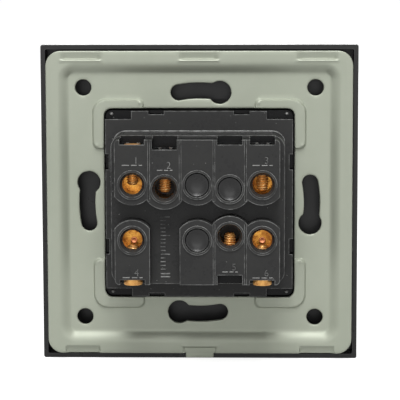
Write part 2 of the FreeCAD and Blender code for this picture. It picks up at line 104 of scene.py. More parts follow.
def shadeByAngle(mesh, degrees):
    mesh.polygons.foreach_set("use_smooth", [True] * len(mesh.polygons))
    mesh.set_sharp_from_angle(angle=math.radians(degrees))


def makeObject(name, mesh, smoothAngle=None):
    piece = bpy.data.objects.new(name, mesh)
    scene.collection.objects.link(piece)
    if smoothAngle is not None:
        shadeByAngle(mesh, smoothAngle)
    return piece


def finished(name, work):
    # a mesh from a working one, with its faces turned outwards
    bmesh.ops.recalc_face_normals(work, faces=work.faces)
    mesh = bpy.data.meshes.new(name)
    work.to_mesh(mesh)
    work.free()
    return mesh


def meshFrom(name, points, faces):
    # points in mm
    work = bmesh.new()
    corners = [work.verts.new([c * mm for c in p]) for p in points]
    for face in faces:
        work.faces.new([corners[i] for i in face])
    return finished(name, work)


def makeBoxes(name, boxes):
    # closed boxes, each (x0, x1, y0, y1, z0, z1) in mm
    sides = [(0, 1, 3, 2), (4, 6, 7, 5), (0, 4, 5, 1), (2, 3, 7, 6), (0, 2, 6, 4), (1, 5, 7, 3)]
    points, faces = [], []
    for x0, x1, y0, y1, z0, z1 in boxes:
        faces += [tuple(i + len(points) for i in side) for side in sides]
        points += [(x, y, z) for x in (x0, x1) for y in (y0, y1) for z in (z0, z1)]
    return makeObject(name, meshFrom(name, points, faces))


def bandFaces(near, far, count):
    # faces between two rings of points, given by the number of each ring's first point
    pairs = [(i, (i + 1) % count) for i in range(count)]
    return [(near + i, near + j, far + j, far + i) for i, j in pairs]


def tubeFaces(rings, around):
    # a tube through rings of points, with a flat cap at each end
    faces = []
    for ring in range(rings - 1):
        faces += bandFaces(ring * around, (ring + 1) * around, around)
    return faces + [tuple(range(around)), tuple((rings - 1) * around + i for i in range(around))]


def evaluatedMesh(piece):
    graph = bpy.context.evaluated_depsgraph_get()
    return bpy.data.meshes.new_from_object(piece.evaluated_get(graph))


def applied(piece):
    # the piece's mesh with its modifiers worked in
    mesh = evaluatedMesh(piece)
    piece.modifiers.clear()
    old = piece.data
    piece.data = mesh
    bpy.data.meshes.remove(old)


def cutAway(piece, cutter):
    step = piece.modifiers.new("cut", "BOOLEAN")
    step.operation = "DIFFERENCE"
    step.solver = "EXACT"
    step.object = cutter
    applied(piece)
    mesh = cutter.data
    bpy.data.objects.remove(cutter)
    bpy.data.meshes.remove(mesh)


def softenEdges(piece, width, segments=2):
    # rounds the edges that turn by more than 30 degrees; width in mm
    step = piece.modifiers.new("softened edges", "BEVEL")
    step.width = width * mm
    step.segments = segments
    step.limit_method = "ANGLE"
    step.angle_limit = math.radians(30)
    step.miter_outer = "MITER_ARC"
    step.harden_normals = True


# the camera stands behind the switch, a little above its middle; sizes in mm, turns in degrees
cameraView = {
    "target": (-0.1, -3.3, 0.575),
    "azimuth": -178.321,   # 0 looks along +Y
    "elevation": 7.162,
    "distance": 535.9,
    "roll": -0.149,
    "lens": 177.345,
    "sensor": 36,
    "clipNear": 0.01,      # metres
    "clipFar": 20,
}


def makeCamera(view):
    data = bpy.data.cameras.new("photoCamera")
    camera = bpy.data.objects.new("photoCamera", data)
    scene.collection.objects.link(camera)
    turn = math.radians(view["azimuth"])
    lift = math.radians(view["elevation"])
    away = Vector((math.sin(turn) * math.cos(lift), -math.cos(turn) * math.cos(lift), math.sin(lift)))
    camera.location = (Vector(view["target"]) + away * view["distance"]) * mm
    camera.rotation_mode = "QUATERNION"
    roll = Quaternion((0, 0, 1), math.radians(view["roll"]))
    camera.rotation_quaternion = (-away).to_track_quat("-Z", "Y") @ roll
    data.lens = view["lens"]
    data.sensor_width = view["sensor"]
    data.clip_start = view["clipNear"]
    data.clip_end = view["clipFar"]
    scene.camera = camera


makeCamera(cameraView)
scene.view_settings.view_transform = "Standard"
print("camera placed")


# places and sizes in metres; share is how much of a plain white light a lamp gives to a face turned its way
# along Y
studio = {
    "ambient": 0.05,
    "lamps": {
        "lampHigh": {"place": (0.0, 0.47, 0.84), "size": 0.55, "share": 0.5},
        "lampFill": {"place": (0.0, 1.25, 0.30), "size": 0.9, "share": 0.24},
        "lampFrontHigh": {"place": (0.30, -0.75, 0.75), "size": 0.6, "share": 0.45},
        "lampFrontFill": {"place": (-0.25, -1.20, 0.25), "size": 1.0, "share": 0.45},
    },
    "floorHalf": 4.0,
    "floorShade": 0.4,      # near the switch
    "farShade": 0.12,
    "floorGlow": 0.84,
    "farGlow": 1.0,
    "fadeStart": 0.1,       # from the switch
    "fadeEnd": 0.45,
}


def feed(tree, step, values):
    # values for a node's inputs, by name or number: linked sockets or plain values
    for title, value in values.items():
        if hasattr(value, "is_linked"):
            tree.links.new(value, step.inputs[title])
        else:
            step.inputs[title].default_value = value


def addStep(tree, kind, values, **settings):
    step = tree.nodes.new("ShaderNode" + kind)
    for setting, value in settings.items():
        setattr(step, setting, value)
    feed(tree, step, values)
    return step


def addMath(tree, operation, *values):
    return addStep(tree, "Math", dict(enumerate(values)), operation=operation).outputs[0]


def addRange(tree, value, low, high, bottom=0.0, top=1.0):
    # bottom where value is below low, top where it is above high
    limits = {"From Min": low, "From Max": high, "To Min": bottom, "To Max": top}
    return addStep(tree, "MapRange", {"Value": value, **limits}).outputs[0]


def seenDirectly(tree):
    # 1 for the rays of the camera, of reflections and of see-through surfaces, otherwise 0
    rays = addStep(tree, "LightPath", {}).outputs
    seen = addMath(tree, "MAXIMUM", rays["Is Camera Ray"], rays["Is Glossy Ray"])
    return addMath(tree, "MAXIMUM", seen, rays["Is Transmission Ray"])


def makeWorld(look):
    world = bpy.data.worlds.new("studioWorld")
    scene.world = world
    world.use_nodes = True
    tree = world.node_tree
    tree.nodes.clear()
    strength = addRange(tree, seenDirectly(tree), 0.0, 1.0, look["ambient"], 1.0)
    light = addStep(tree, "Background", {"Color": (1, 1, 1, 1), "Strength": strength})
    addStep(tree, "OutputWorld", {"Surface": light.outputs[0]})


def makeLamps(lamps):
    for name, lamp in lamps.items():
        place = Vector(lamp["place"])
        data = bpy.data.lights.new(name, "AREA")
        data.shape = "DISK"
        data.size = lamp["size"]
        facing = abs(place.y) / place.length
        data.energy = lamp["share"] * math.pi ** 2 * place.length_squared / facing
        holder = bpy.data.objects.new(name, data)
        scene.collection.objects.link(holder)
        holder.location = place
        holder.rotation_mode = "QUATERNION"
        holder.rotation_quaternion = (-place).to_track_quat("-Z", "Y")


def makeFloor(look):
    half = look["floorHalf"]
    low = cadBox[0][2]
    mesh = bpy.data.meshes.new("studioFloor")
    corners = [(-half, -half, low), (half, -half, low), (half, half, low), (-half, half, low)]
    mesh.from_pydata(corners, [], [(0, 1, 2, 3)])
    floor = makeObject("studioFloor", mesh)
    material = bpy.data.materials.new("studioFloor")
    material.use_nodes = True
    tree = material.node_tree
    tree.nodes.clear()
    place = addStep(tree, "TexCoord", {}).outputs["Object"]
    away = addStep(tree, "VectorMath", {0: place}, operation="LENGTH").outputs["Value"]

    def fading(near, far):
        return addRange(tree, away, look["fadeStart"], look["fadeEnd"], look[near], look[far])

    matte = addStep(tree, "BsdfDiffuse", {"Color": fading("floorShade", "farShade")})
    glow = addMath(tree, "MULTIPLY", seenDirectly(tree), fading("floorGlow", "farGlow"))
    light = addStep(tree, "Emission", {"Strength": glow})
    both = addStep(tree, "AddShader", {0: matte.outputs[0], 1: light.outputs[0]})
    addStep(tree, "OutputMaterial", {"Surface": both.outputs[0]})
    mesh.materials.append(material)


makeWorld(studio)
makeLamps(studio["lamps"])
makeFloor(studio)
print("studio lit:", len(studio["lamps"]), "lamps")


def socketKind(title):
    return "NodeSocketColor" if "Colour" in title else "NodeSocketFloat"


def startGroup(name, inputs):
    # a node group with plain values for its inputs: the group, what it is given, and the shaded place
    group = bpy.data.node_groups.new(name, "ShaderNodeTree")
    for title, value in inputs.items():
        socket = group.interface.new_socket(title, in_out="INPUT", socket_type=socketKind(title))
        socket.default_value = value
    return group, group.nodes.new("NodeGroupInput").outputs, addStep(group, "TexCoord", {}).outputs


def endGroup(group, values):
    for title in values:
        group.interface.new_socket(title, in_out="OUTPUT", socket_type=socketKind(title))
    feed(group, group.nodes.new("NodeGroupOutput"), values)
    return group


def addNoise(tree, place, scale, detail=3.0):
    values = {"Vector": place["Object"], "Scale": scale, "Detail": detail}
    return addStep(tree, "TexNoise", values).outputs["Fac"]


def addBlend(tree, factor, first, second):
    colours = {"Factor": factor, "A": first, "B": second}
    return addStep(tree, "Mix", colours, data_type="RGBA").outputs["Result"]


mottleShape = {"fineTimes": 9.0, "fineShare": 0.4, "low": 0.3, "high": 0.7}


def makeMottleGroup(shape):
    # broad, soft changes of colour and roughness, as in moulded plastic or plated sheet
    group, given, place = startGroup("surfaceMottle", {
        "Colour": (0.5, 0.5, 0.5, 1), "Second Colour": (0.4, 0.4, 0.4, 1), "Amount": 0.5, "Scale": 60.0,
        "Roughness": 0.4, "Roughness Spread": 0.1,
    })
    broad = addNoise(group, place, given["Scale"])
    fineScale = addMath(group, "MULTIPLY", given["Scale"], shape["fineTimes"])
    fine = addNoise(group, place, fineScale, detail=2.0)
    fine = addMath(group, "MULTIPLY_ADD", fine, shape["fineShare"], -shape["fineShare"] / 2)
    spread = addRange(group, addMath(group, "ADD", broad, fine), shape["low"], shape["high"])
    strength = addMath(group, "MULTIPLY", spread, given["Amount"])
    colour = addBlend(group, strength, given["Colour"], given["Second Colour"])
    centred = addMath(group, "SUBTRACT", spread, 0.5)
    rough = addMath(group, "MULTIPLY_ADD", centred, given["Roughness Spread"], given["Roughness"])
    return endGroup(group, {"Colour": colour, "Roughness": rough})


grainShape = {"coarseTimes": 0.12, "detail": 2.0}


def makeGrainGroup(shape):
    # the fine height of a moulded or plated surface
    group, given, place = startGroup("fineGrain", {"Scale": 2500.0, "Coarse Share": 0.3})
    fine = addNoise(group, place, given["Scale"], shape["detail"])
    coarseScale = addMath(group, "MULTIPLY", given["Scale"], shape["coarseTimes"])
    coarse = addNoise(group, place, coarseScale, shape["detail"])
    height = addStep(group, "Mix", {"Factor": given["Coarse Share"], "A": fine, "B": coarse})
    return endGroup(group, {"Height": height.outputs["Result"]})


# a speck is full within its core and ends at its rim, as shares of a cell; they lie in patches of noise
dustShape = {"rim": 0.14, "core": 0.07, "patchScale": 160.0, "patchLow": 0.45, "patchHigh": 0.62}


def makeDustGroup(shape):
    # sparse pale specks that lie on dark plastic, in patches
    group, given, place = startGroup("dustSpecks", {
        "Colour": (0.1, 0.1, 0.1, 1), "Dust Colour": (0.5, 0.5, 0.48, 1), "Density": 0.25, "Scale": 1300.0,
    })
    cells = addStep(group, "TexVoronoi", {"Vector": place["Object"], "Scale": given["Scale"]}).outputs
    near = addRange(group, cells["Distance"], shape["rim"], shape["core"])
    pick = addStep(group, "SeparateColor", {0: cells["Color"]}).outputs[0]
    chosen = addMath(group, "LESS_THAN", pick, given["Density"])
    patches = addNoise(group, place, shape["patchScale"], detail=2.0)
    patch = addRange(group, patches, shape["patchLow"], shape["patchHigh"])
    mask = addMath(group, "MULTIPLY", addMath(group, "MULTIPLY", near, chosen), patch)
    return endGroup(group, {"Colour": addBlend(group, mask, given["Colour"], given["Dust Colour"])})


# flat and worn are what the occlusion inside a piece reads on faces and on edges; up is for faces that
# look upwards, whose edges get a painted highlight from the light above
edgeShape = {
    "samples": 8, "flat": 0.93, "worn": 0.62, "patchScale": 600.0, "patchLow": 0.36, "patchHigh": 0.6,
    "patchGain": 0.8, "patchLeast": 0.2, "upLow": 0.05, "upHigh": 0.5, "upGain": 0.9, "upLeast": 0.4,
}


def makeWearAndHighlightGroup(shape):
    # corners, rims and raised marks painted paler in broken lines: partly wear from handling, partly painted
    # highlight, most where they face up towards the light
    group, given, place = startGroup("edgeWearAndHighlight", {
        "Colour": (0.1, 0.1, 0.1, 1), "Wear And Highlight Colour": (0.3, 0.3, 0.3, 1), "Strength": 0.6,
        "Width": 0.3 * mm, "Worn Roughness": 0.3, "Roughness": 0.4,
    })
    solid = addStep(group, "AmbientOcclusion", {"Distance": given["Width"]},
                    inside=True, only_local=True, samples=shape["samples"])
    edge = addRange(group, solid.outputs["AO"], shape["flat"], shape["worn"])
    patches = addNoise(group, place, shape["patchScale"])
    patch = addRange(group, patches, shape["patchLow"], shape["patchHigh"])
    broken = addMath(group, "MULTIPLY_ADD", patch, shape["patchGain"], shape["patchLeast"])
    # painted highlight: edges that face up get paler, as the light falls from above
    facing = addStep(group, "SeparateXYZ", {0: place["Normal"]}).outputs["Z"]
    litFromAbove = addRange(group, facing, shape["upLow"], shape["upHigh"])
    litFromAbove = addMath(group, "MULTIPLY_ADD", litFromAbove, shape["upGain"], shape["upLeast"])
    wornAndLit = addMath(group, "MULTIPLY", broken, litFromAbove)
    wornAndLit = addMath(group, "MULTIPLY", wornAndLit, given["Strength"])
    mask = addMath(group, "MINIMUM", addMath(group, "MULTIPLY", edge, wornAndLit), 1.0)
    colour = addBlend(group, mask, given["Colour"], given["Wear And Highlight Colour"])
    change = addMath(group, "SUBTRACT", given["Worn Roughness"], given["Roughness"])
    rough = addMath(group, "MULTIPLY_ADD", change, mask, given["Roughness"])
    return endGroup(group, {"Colour": colour, "Roughness": rough})


def makePaintedShadeGroup():
    # painted shade: the floors and end walls of the deep steps and notches are painted blacker, as the shade
    # that falls there; a band round the lower face between the columns is left out
    group, given, place = startGroup("paintedRecessShade", {
        "Colour": (0.1, 0.1, 0.1, 1), "Shade Colour": (0.01, 0.01, 0.01, 1), "Step Below": 1.35 * mm,
        "Notch Above": 10.8 * mm, "Notch Below": 18.5 * mm, "Notch Beyond": 15.3 * mm,
        "Notch Within": 19.6 * mm, "Face": 13.6 * mm, "Face Band": 0.25 * mm,
    })
    axes = addStep(group, "SeparateXYZ", {0: place["Object"]}).outputs
    step = addMath(group, "LESS_THAN", axes["Y"], given["Step Below"])
    away = addMath(group, "ABSOLUTE", axes["Z"])
    fromFace = addMath(group, "ABSOLUTE", addMath(group, "SUBTRACT", axes["Y"], given["Face"]))
    notch = addMath(group, "GREATER_THAN", fromFace, given["Face Band"])
    tests = [("GREATER_THAN", axes["Y"], "Notch Above"), ("LESS_THAN", axes["Y"], "Notch Below"),
             ("GREATER_THAN", away, "Notch Beyond"), ("LESS_THAN", away, "Notch Within")]
    for test, value, limit in tests:
        notch = addMath(group, "MULTIPLY", notch, addMath(group, test, value, given[limit]))
    mask = addMath(group, "MAXIMUM", step, notch)
    return endGroup(group, {"Colour": addBlend(group, mask, given["Colour"], given["Shade Colour"])})


mottleGroup = makeMottleGroup(mottleShape)
paintedShadeGroup = makePaintedShadeGroup()
grainGroup = makeGrainGroup(grainShape)
dustGroup = makeDustGroup(dustShape)
wearAndHighlightGroup = makeWearAndHighlightGroup(edgeShape)


# what a finish has unless its own entry says otherwise; colours in sRGB, grain heights and edge widths in mm;
# edge colours paint worn edges with painted highlights, and a deep colour paints shade into recesses
plainFinish = {
    "amount": 0.6, "mottleScale": 90.0, "roughness": 0.4, "spread": 0.12, "metallic": 0.0,
    "specular": 0.5, "grainScale": 2200.0, "grainHeight": 0.004, "edgeStrength": 0.4,
    "edgeWidth": 0.3, "wornRoughness": 0.3, "dust": 0.0, "deep": None,
}

# one finish for each material slot of the frame, and three more blacks for small added pieces: two painted
# darker as shade down in holes and gaps, one painted pale as worn and highlit marks
finishes = {
    "frame_steel": {
        "colour": (164, 169, 154), "second": (159, 165, 149), "mottleScale": 45.0,
        "roughness": 0.46, "spread": 0.08, "metallic": 0.2, "specular": 0.4,
        "grainScale": 1500.0, "edge": (222, 224, 212), "edgeStrength": 0.3,
    },
    # the housing's deep colour is painted shade in its recesses and notches
    "housing_black": {
        "colour": (48, 48, 48), "second": (56, 56, 55), "amount": 0.7,
        "mottleScale": 120.0, "roughness": 0.31, "spread": 0.14, "specular": 0.13,
        "grainScale": 2600.0, "grainHeight": 0.006, "edge": (182, 183, 181),
        "edgeStrength": 1.15, "edgeWidth": 0.27, "dust": 0.16, "deep": (4, 4, 5),
    },
    "cover_black": {
        "colour": (22, 22, 22), "second": (28, 28, 28), "mottleScale": 60.0,
        "roughness": 0.32, "specular": 0.26, "grainScale": 1800.0, "edge": (104, 104, 104),
        "edgeStrength": 0.5,
    },
    "rocker_black": {
        "colour": (24, 24, 24), "second": (30, 30, 30), "mottleScale": 70.0,
        "roughness": 0.36, "specular": 0.3, "grainScale": 3000.0, "edge": (110, 111, 113),
    },
    # pale grey: painted highlight on the raised pips and dashes, with some wear
    "worn_highlit_black": {
        "colour": (132, 132, 130), "second": (84, 84, 83), "mottleScale": 500.0,
        "roughness": 0.3, "edge": (190, 190, 188),
    },
    # darker than the housing: painted shade for pieces down in holes and gaps
    "painted_shade_black": {
        "colour": (34, 34, 34), "second": (40, 40, 40), "mottleScale": 200.0,
        "roughness": 0.36, "specular": 0.13, "edge": (56, 56, 56), "edgeStrength": 0.2,
    },
    # darker than the housing: painted shade inside the blind dishes
    "painted_shade_dish_black": {
        "colour": (32, 32, 32), "second": (38, 38, 38), "mottleScale": 200.0,
        "roughness": 0.3, "specular": 0.3, "edge": (90, 90, 90), "edgeStrength": 0.3,
    },
    "terminal_brass": {
        "colour": (206, 152, 70), "second": (134, 74, 28), "amount": 0.9,
        "mottleScale": 520.0, "roughness": 0.32, "spread": 0.24, "metallic": 0.95,
        "grainScale": 1600.0, "grainHeight": 0.01, "edge": (246, 214, 140), "edgeStrength": 0.6,
    },
    "screw_brass": {
        "colour": (230, 176, 100), "second": (166, 106, 48), "amount": 0.8,
        "mottleScale": 620.0, "roughness": 0.46, "spread": 0.16, "metallic": 0.6,
        "grainScale": 2400.0, "grainHeight": 0.006, "edge": (255, 230, 170), "edgeStrength": 0.5,
    },
    "strip_brass": {
        "colour": (214, 166, 88), "second": (190, 136, 60), "amount": 0.7,
        "mottleScale": 200.0, "roughness": 0.34, "metallic": 0.95,
        "grainScale": 1400.0, "grainHeight": 0.006, "edge": (244, 214, 150),
    },
    "bar_copper": {
        "colour": (214, 140, 98), "second": (190, 112, 72), "amount": 0.7,
        "mottleScale": 220.0, "roughness": 0.32, "metallic": 0.95,
        "grainScale": 1400.0, "grainHeight": 0.006, "edge": (240, 190, 150),
    },
    "contact_silver": {
        "colour": (214, 213, 208), "second": (188, 187, 182), "mottleScale": 300.0,
        "roughness": 0.28, "metallic": 1.0, "grainScale": 2000.0, "edge": (240, 240, 236),
    },
    "carrier_white": {
        "colour": (214, 212, 204), "second": (202, 200, 190), "roughness": 0.45,
        "edge": (232, 231, 226), "edgeStrength": 0.3, "dust": 0.05,
    },
    "plunger_nylon": {
        "colour": (222, 219, 206), "second": (206, 202, 186), "mottleScale": 200.0,
        "roughness": 0.38, "grainScale": 2600.0, "edge": (236, 234, 226), "edgeStrength": 0.3,
    },
    "spring_steel": {
        "colour": (176, 176, 178), "second": (150, 150, 154), "mottleScale": 500.0,
        "roughness": 0.3, "metallic": 1.0, "grainScale": 3000.0, "edge": (215, 215, 217),
        "edgeStrength": 0.3,
    },
}


def completed(look):
    # a finish with all its values, and its colours as shaders take them
    whole = {**plainFinish, **look}
    return {key: fromSrgb(*value) if isinstance(value, tuple) else value for key, value in whole.items()}


def makeFinish(name, look):
    material = bpy.data.materials.new(name)
    material.use_nodes = True
    tree = material.node_tree

    def placed(group, values):
        return addStep(tree, "Group", values, node_tree=group).outputs

    mottle = placed(mottleGroup, {
        "Colour": look["colour"], "Second Colour": look["second"], "Amount": look["amount"],
        "Scale": look["mottleScale"], "Roughness": look["roughness"], "Roughness Spread": look["spread"],
    })
    # edges paler from wear and from painted highlights
    worn = placed(wearAndHighlightGroup, {
        "Colour": mottle["Colour"], "Wear And Highlight Colour": look["edge"], "Strength": look["edgeStrength"],
        "Width": look["edgeWidth"] * mm, "Worn Roughness": look["wornRoughness"],
        "Roughness": mottle["Roughness"],
    })
    colour = worn["Colour"]
    # painted shade in the deep recesses
    if look["deep"]:
        colour = placed(paintedShadeGroup, {"Colour": colour, "Shade Colour": look["deep"]})["Colour"]
    if look["dust"] > 0:
        colour = placed(dustGroup, {"Colour": colour, "Density": look["dust"]})["Colour"]
    grain = placed(grainGroup, {"Scale": look["grainScale"]})
    bump = addStep(tree, "Bump", {
        "Strength": 1.0, "Distance": look["grainHeight"] * mm, "Height": grain["Height"],
    })
    feed(tree, tree.nodes["Principled BSDF"], {
        "Metallic": look["metallic"], "Specular IOR Level": look["specular"], "Base Color": colour,
        "Roughness": worn["Roughness"], "Normal": bump.outputs["Normal"],
    })
    return material


materials = {name: makeFinish(name, completed(look)) for name, look in finishes.items()}
print("materials made:", len(materials))


def setMaterial(piece, name):
    piece.data.materials.clear()
    piece.data.materials.append(materials[name])


def addPiece(piece, body, slot, *replaced, finish=None):
    setMaterial(piece, finish or slot)
    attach(piece, body)
    if replaced:
        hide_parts(*replaced)


def addBlack(piece, finish=None):
    # a piece of the housing's plastic
    addPiece(piece, "housing", "housing_black", finish=finish)


# the pressed steel frame; sizes in mm, keyTurn in degrees
steelFrame = {
    "halfX": 41.3, "halfZ": 41.2, "corner": 4.0, "sheet": 1.0, "outlineStep": 0.8, "edgeRound": 0.28,
    "edgeRings": (0.0, 0.12, 0.45, 1.0), "frontRound": 0.5,   # shares of edgeRound
    "flange": 3.0, "wellDepth": 1.5, "slope": 2.85, "slopeCurve": 1.7, "wellCorner": 2.0, "footSoft": 0.12,
    "opening": 25.7, "openingCorner": 2.0, "openingStep": 0.6,
    "padReachX": 28.65, "padReachZ": 28.4, "padDrop": 0.25, "padCorner": 3.6, "padArm": 15.1,
    "padHeight": 0.78, "padSoft": 0.55, "padRound": 0.9, "padBlend": 0.15,
    "knobPlace": 16.0, "knobInset": 1.0, "knobRadius": 0.7, "knobHeight": 0.14,
    "holePitch": 31.3, "holeRadius": 2.2,
    "keyCircle": 30.45, "keyTurn": 10.5, "keySlot": 2.15, "keyHead": 3.1,
    "tongueHalf": 3.8, "tongueReach": 1.3, "tongueNick": 0.25, "tongueRoot": 0.4, "tongueStep": 0.5,
    "tabOffset": 12.0, "tabHalf": 4.0, "tabFront": -7.1, "tabSink": 0.3, "tabSoft": 0.2,
    "windowHalf": 2.2, "windowMiddle": -4.8, "windowDepth": 0.95,
    "grid": 0.8, "clear": 0.12, "slightBend": 0.02, "sharpBend": 0.25,
}

# pressed recesses along the upper and lower edges: start is how far from the middle they begin
upperEnd = {
    "edge": 1, "start": 39.0, "half": 4.95, "ends": 1.7, "wall": 0.4, "depth": 0.72, "rise": 0.2,
    "scoop": 0.0, "scoopReach": 2.0, "lip": 0.2, "lipHalf": 5.7, "lipSet": 0.35, "lipWidth": 0.28,
    "lipEnds": 0.8, "margin": 1.5,
}
upperMiddle = {**upperEnd, "half": 4.75, "lipHalf": 5.6}
lowerEnd = {**upperEnd, "edge": -1, "start": 39.25, "half": 4.6, "ends": 0.5, "wall": 0.3, "lip": 0.03,
            "lipHalf": 4.6, "depth": 0.2, "rise": 0.0, "scoop": 0.6}
lowerMiddle = {**lowerEnd, "start": 39.5, "half": 4.35, "wall": 0.4, "lip": 0.14, "lipHalf": 5.0,
               "depth": 0.5, "scoop": 0.0}
recesses = [
    {"centre": 31.8, **upperEnd}, {"centre": 0.0, **upperMiddle}, {"centre": -31.8, **upperEnd},
    {"centre": 31.9, **lowerEnd}, {"centre": 0.0, **lowerMiddle}, {"centre": -31.9, **lowerEnd},
]


def roundedDistance(x, z, halfX, halfZ, corner):
    # how far outside a rounded rectangle a point is
    dx = abs(x) - halfX + corner
    dz = abs(z) - halfZ + corner
    outside = math.hypot(max(dx, 0.0), max(dz, 0.0))
    return outside + min(max(dx, dz), 0.0) - corner


def pointAt(radius, turn):
    # a point round the middle of the sheet, turned from the top to the left
    return -radius * math.sin(turn), radius * math.cos(turn)


def keyAngles(size):
    # where each keyhole's slot begins and ends
    return [(middle - size["keyTurn"], middle + size["keyTurn"]) for middle in (0, 90, 180, 270)]


def keyholeDistance(x, z, low, high, size):
    # how far outside a keyhole a point is: a slot along the circle, and the round end for the screw's head
    angle = math.degrees(math.atan2(-x, z)) % 360
    middle = (low + high) / 2
    offset = (angle - middle + 180) % 360 - 180
    held = math.radians(middle + max(low - middle, min(high - middle, offset)))
    circle = size["keyCircle"]
    toSlot = math.dist((x, z), pointAt(circle, held)) - size["keySlot"]
    toHead = math.dist((x, z), pointAt(circle, math.radians(high))) - size["keyHead"]
    return min(toSlot, toHead)


def edgeDistance(x, z, size):
    # how far inside the sheet a point is, from the nearest cut edge
    outer = roundedDistance(x, z, size["halfX"], size["halfZ"], size["corner"])
    tongue = max(abs(x) - size["tongueHalf"], -size["halfZ"] - size["tongueReach"] - z, z)
    pitch = size["holePitch"]
    inside = [
        -min(outer, tongue),
        roundedDistance(x, z, size["opening"], size["opening"], size["openingCorner"]),
        math.hypot(abs(x) - pitch, abs(z) - pitch) - size["holeRadius"],
    ]
    inside += [keyholeDistance(x, z, low, high, size) for low, high in keyAngles(size)]
    return min(inside)


def wellHeight(x, z, size):
    # the field inside the flange lies lower: the slope starts gently and ends in a clear foot, whose
    # rounding no longer counts 1 mm beyond it
    foot = size["flange"] + size["slope"]
    beyond = roundedDistance(x, z, size["halfX"] - foot, size["halfZ"] - foot, size["wellCorner"])
    soft = size["footSoft"]
    climb = soft * math.log1p(math.exp(beyond / soft)) if beyond < 1 else beyond
    along = max(1 - climb / size["slope"], 0.0)
    return -size["wellDepth"] * along ** size["slopeCurve"]


def padHeight(x, z, size):
    # raised arms round the corners of the opening, with a small knob near each end
    z += size["padDrop"]
    reach = roundedDistance(x, z, size["padReachX"], size["padReachZ"], size["padCorner"])
    short = size["padArm"] - abs(x)
    low = size["padArm"] - abs(z)
    rounding = size["padRound"]
    blended = rounding * math.log(sum(math.exp(d / rounding) for d in (reach, short, low)))
    outside = max(reach, short, low, blended - size["padBlend"])
    height = size["padHeight"] * smooth(0.5 - outside / size["padSoft"])
    knobX, knobZ = size["padReachX"] - size["knobInset"], size["padReachZ"] - size["knobInset"]
    for kx, kz in ((size["knobPlace"], knobZ), (knobX, size["knobPlace"])):
        toKnob = math.hypot(abs(x) - kx, abs(z) - kz)
        height += size["knobHeight"] * smooth(1.0 - toKnob / size["knobRadius"])
    return height


def recessHeight(x, z):
    # the pressed recesses, each with a low lip along its inner side
    height = 0.0
    for recess in recesses:
        into = recess["edge"] * z - recess["start"]
        aside = abs(x - recess["centre"])
        if into < -recess["margin"] or aside > recess["lipHalf"] + recess["margin"]:
            continue
        wall = smooth(0.5 + into / recess["wall"])
        ends = smooth(0.5 + (recess["half"] - aside) / recess["ends"])
        reach = recess["scoopReach"]
        inside = min(max(into, 0.0), reach)
        scooped = recess["scoop"] * (1 - (1 - inside / reach) ** 2)
        height -= (recess["depth"] - recess["rise"] * inside + scooped) * wall * ends
        ridge = math.exp(-((into + recess["lipSet"]) / recess["lipWidth"]) ** 2)
        height += recess["lip"] * ridge * smooth(0.5 + (recess["lipHalf"] - aside) / recess["lipEnds"])
    return height


def sheetHeight(x, z, size):
    return wellHeight(x, z, size) + padHeight(x, z, size) + recessHeight(x, z)


def divided(points, longest):
    # long runs of a closed loop cut into shorter ones
    result = []
    for first, second in zip(points, points[1:] + points[:1]):
        count = max(1, math.ceil(math.dist(first, second) / longest))
        for step in range(count):
            share = step / count
            result.append((mix(first[0], second[0], share), mix(first[1], second[1], share)))
    return result


def roundedLoop(halfX, halfZ, corner, arcSteps, longest=None):
    # points along a rounded rectangle
    points = []
    for turn, (sx, sz) in enumerate([(1, 1), (-1, 1), (-1, -1), (1, -1)]):
        cx = sx * (halfX - corner)
        cz = sz * (halfZ - corner)
        for step in range(arcSteps + 1):
            angle = math.radians(turn * 90 + 90 * step / arcSteps)
            points.append((cx + corner * math.cos(angle), cz + corner * math.sin(angle)))
    return divided(points, longest) if longest else points


def outerLoop(size, inset):
    # the sheet's outline, with the tongue let into its lower edge
    halfZ = size["halfZ"] - inset
    corner = size["corner"] - inset
    loop = roundedLoop(size["halfX"] - inset, halfZ, corner, arcSteps=14, longest=size["outlineStep"])
    side = size["tongueHalf"] - inset
    root = side + size["tongueRoot"]
    low = -size["halfZ"] - size["tongueReach"] + inset
    nick = size["tongueNick"]
    nearly = 0.01
    onLowerEdge = [p[1] < -halfZ + nearly for p in loop]
    kept = [(p, edge) for p, edge in zip(loop, onLowerEdge) if not (edge and abs(p[0]) < root)]
    after = next(i for i, (p, edge) in enumerate(kept) if edge and p[0] > 0)
    tongue = [(-side, -halfZ), (-side, low + nick), (-side + nick, low),
              (side - nick, low), (side, low + nick), (side, -halfZ)]
    tongue = divided(tongue, size["tongueStep"])
    tongue = tongue[:tongue.index((side, -halfZ)) + 1]
    return [p for p, _ in kept[:after]] + tongue + [p for p, _ in kept[after:]]


def keyholeLoop(low, high, size, grow):
    # points round a keyhole: along its inner side and back along its outer one
    circle = size["keyCircle"]
    slot = size["keySlot"] + grow
    head = size["keyHead"] + grow
    first = low - math.degrees(slot / circle)
    last = high + math.degrees(head / circle)
    steps = 56
    near, far = [], []
    for step in range(steps + 1):
        angle = mix(first, last, (1 - math.cos(math.pi * step / steps)) / 2)
        before = circle * math.radians(max(low - angle, 0.0))
        slotHalf = math.sqrt(max(slot * slot - before * before, 0.0)) if angle <= high else 0.0
        aside = circle * math.radians(angle - high)
        half = max(slotHalf, math.sqrt(max(head * head - aside * aside, 0.0)))
        near.append(pointAt(circle - half, math.radians(angle)))
        far.append(pointAt(circle + half, math.radians(angle)))
    return near + far[-2:0:-1]


def circleLoop(x, z, radius, steps=40):
    turns = [2 * math.pi * step / steps for step in range(steps)]
    return [(x + radius * math.cos(turn), z + radius * math.sin(turn)) for turn in turns]


